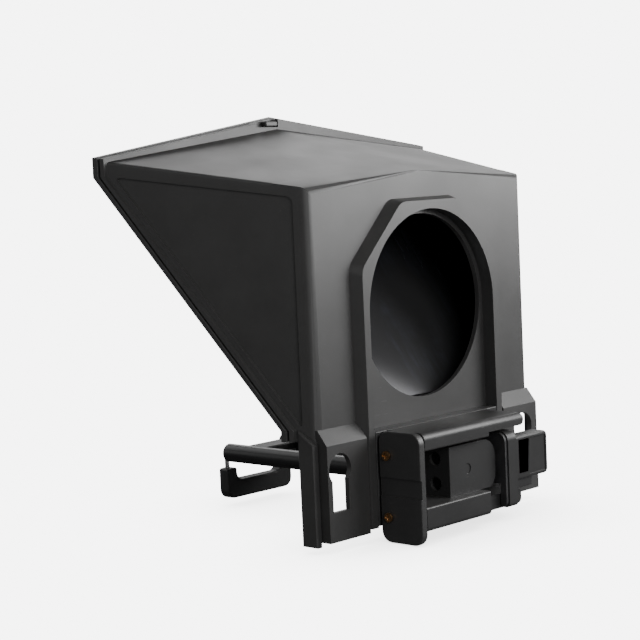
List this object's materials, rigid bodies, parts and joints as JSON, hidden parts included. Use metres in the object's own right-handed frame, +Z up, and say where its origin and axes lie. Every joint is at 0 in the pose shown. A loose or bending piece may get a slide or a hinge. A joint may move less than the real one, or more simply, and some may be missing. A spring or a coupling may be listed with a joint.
{
  "type": "teleprompter",
  "caption": "Camera teleprompter hood with a slanted beam-splitter glass, a lens opening, a sprung device cradle on twin tubes and a small sprung rear clamp.",
  "frame": {"origin": "middle of the floor area that the object covers, level with its lowest point, the end plate of the rear clamp", "axes": "+Z up; +Y from the presenter's side towards the camera side, along the lens axis; +X across the hood, to the right of someone who looks along +Y"},
  "size_m": [0.2426, 0.1594, 0.2053],
  "materials": {
    "hood_plastic": "near-black moulded plastic with a fine satin texture",
    "bezel_plastic": "near-black satin plastic",
    "beam_splitter": "half-mirrored flat glass, very smooth",
    "foam": "black closed-cell foam strip",
    "black_tube": "black semi-gloss coating on aluminium tube",
    "bright_steel": "bright drawn steel",
    "brass": "bright brass screw",
    "grip_rubber": "soft matte black rubber",
    "clamp_plastic": "near-black moulded plastic, slightly smoother than the hood"
  },
  "bodies": {
    "hood": {"hood_shell": "hood_plastic", "side_plate": "hood_plastic", "cradle_mount": "hood_plastic", "front_bezel": "bezel_plastic", "frame_latch": "bezel_plastic", "glass_clip_upper_left": "bezel_plastic", "glass_clip_upper_right": "bezel_plastic", "glass_clip_lower_left": "bezel_plastic", "glass_clip_lower_right": "bezel_plastic", "cradle_cross_plate": "bezel_plastic", "tube_bush_left": "bezel_plastic", "tube_bush_right": "bezel_plastic", "beam_splitter_glass": "beam_splitter", "glass_gasket": "foam", "cradle_tube_left": "black_tube", "cradle_tube_right": "black_tube", "side_screw": "black_tube", "return_spring_left": "bright_steel", "return_spring_right": "bright_steel", "jaw_spring_lower": "bright_steel", "jaw_spring_upper": "bright_steel", "rail_screw_lower": "bright_steel", "rail_screw_upper": "bright_steel", "end_screw_lower": "brass", "end_screw_upper": "brass", "clamp_foot": "clamp_plastic", "clamp_frame": "clamp_plastic", "clamp_end_plate": "clamp_plastic"},
    "hook": {"hook_bar": "grip_rubber", "hook_rod_left": "bright_steel", "hook_rod_right": "bright_steel", "rod_collar_left": "bright_steel", "rod_collar_right": "bright_steel"},
    "jaw": {"clamp_jaw": "clamp_plastic", "jaw_pad": "grip_rubber", "guide_rod_lower": "bright_steel", "guide_rod_upper": "bright_steel", "guide_collar_lower": "bright_steel", "guide_collar_upper": "bright_steel"}
  },
  "joints": [
    {"name": "hook_slide", "type": "slide", "parent": "hood", "child": "hook", "axis": [0, -1, 0], "range_m": [0, 0.045], "stiffness_N_per_m": 60, "springref_m": -0.02, "deforming": ["return_spring_left", "return_spring_right"]},
    {"name": "jaw_slide", "type": "slide", "parent": "hood", "child": "jaw", "axis": [-1, 0, 0], "range_m": [0, 0.01], "stiffness_N_per_m": 300, "springref_m": -0.008, "deforming": ["jaw_spring_lower", "jaw_spring_upper"]}
  ]
}
